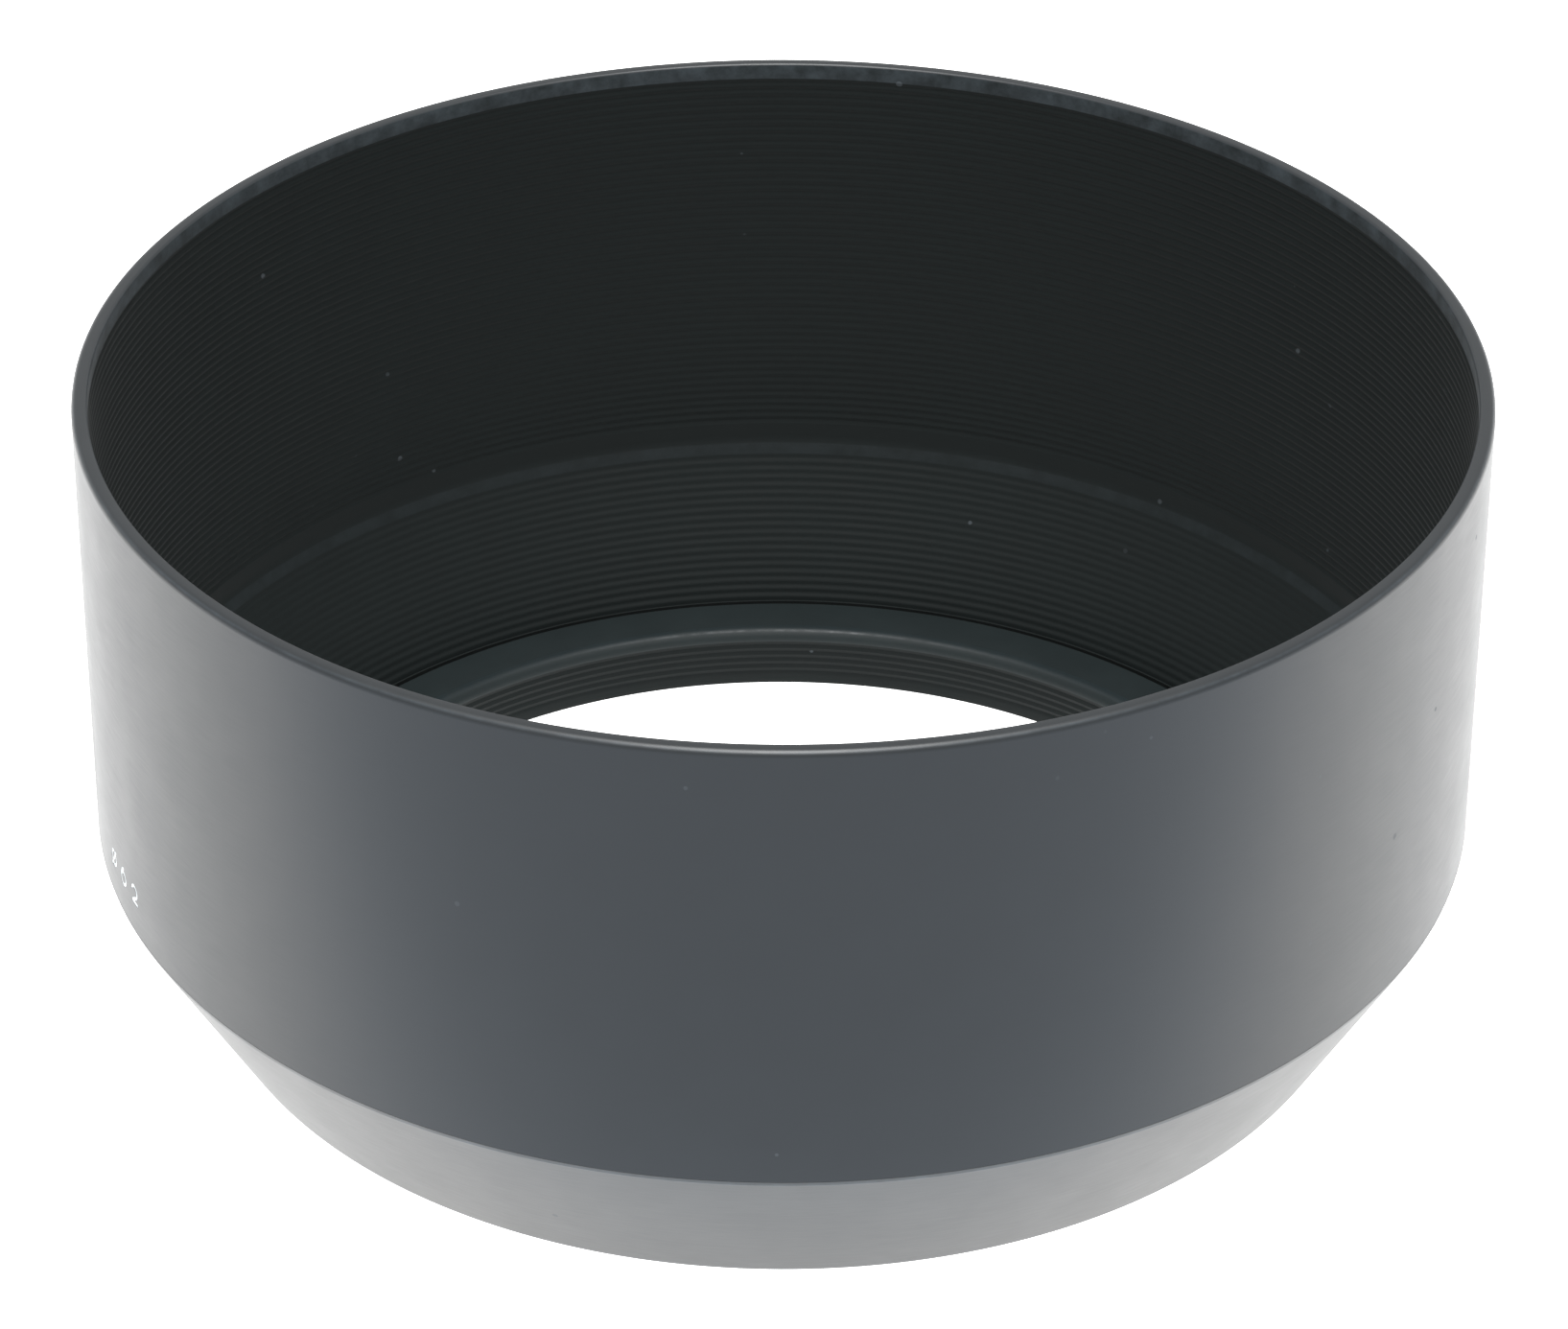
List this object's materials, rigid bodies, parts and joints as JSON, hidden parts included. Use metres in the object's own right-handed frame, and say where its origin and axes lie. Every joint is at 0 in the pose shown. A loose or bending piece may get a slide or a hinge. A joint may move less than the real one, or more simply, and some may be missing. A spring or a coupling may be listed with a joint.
{
  "type": "lens hood",
  "caption": "Screw-in metal lens hood: straight barrel with a grooved inside, cone at the rear, and a threaded neck ring.",
  "frame": {"origin": "centre of the neck's end face, at the bottom of the hood as it stands on its neck", "axes": "+Z along the optical axis from the threaded neck to the open front; -Y is the side nearest a viewer, and the size mark is on the -X side"},
  "size_m": [0.0792, 0.0792, 0.0391],
  "materials": {
    "black_anodised": "satin black anodised, matte black inside",
    "ring_black": "satin black anodised",
    "mark_paint": "white enamel in an engraved mark"
  },
  "bodies": {
    "root": {"front_barrel": "black_anodised", "rear_cone": "black_anodised", "mount_ring": "ring_black", "size_mark": "mark_paint"}
  },
  "joints": []
}
